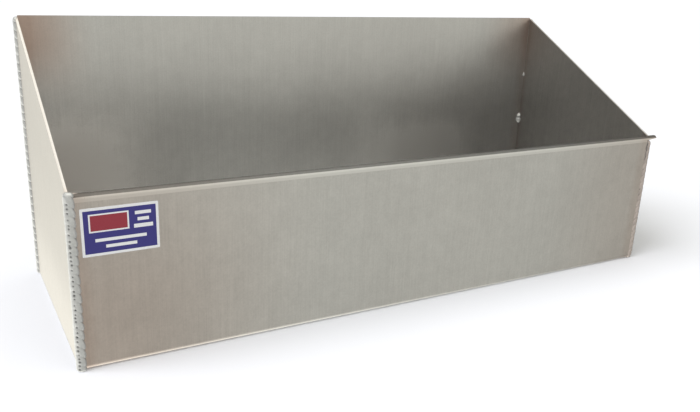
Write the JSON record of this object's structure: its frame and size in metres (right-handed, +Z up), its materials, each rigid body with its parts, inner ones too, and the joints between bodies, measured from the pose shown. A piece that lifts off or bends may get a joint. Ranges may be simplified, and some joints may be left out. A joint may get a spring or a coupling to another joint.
{
  "type": "trough feeder",
  "caption": "Open sheet-aluminium trough with a tall back, a low rolled front rim and sloping welded ends.",
  "frame": {"origin": "underside of the floor, midway between the end plates and midway between the front and back walls", "axes": "+X along the trough to the right as seen from the front, -Y towards the front, +Z up"},
  "size_m": [0.4419, 0.1539, 0.1778],
  "materials": {
    "sheet": "satin mill finish with fine vertical grain",
    "weld": "bright rippled weld metal",
    "label": "printed vinyl sticker"
  },
  "bodies": {
    "root": {"body_sheet": "sheet", "left_end_plate": "sheet", "right_end_plate": "sheet", "front_left_weld": "weld", "front_right_weld": "weld", "rear_left_weld": "weld", "rear_right_weld": "weld", "left_floor_weld": "weld", "right_floor_weld": "weld", "rear_left_tacks": "weld", "rear_right_tacks": "weld", "label": "label"}
  },
  "joints": []
}
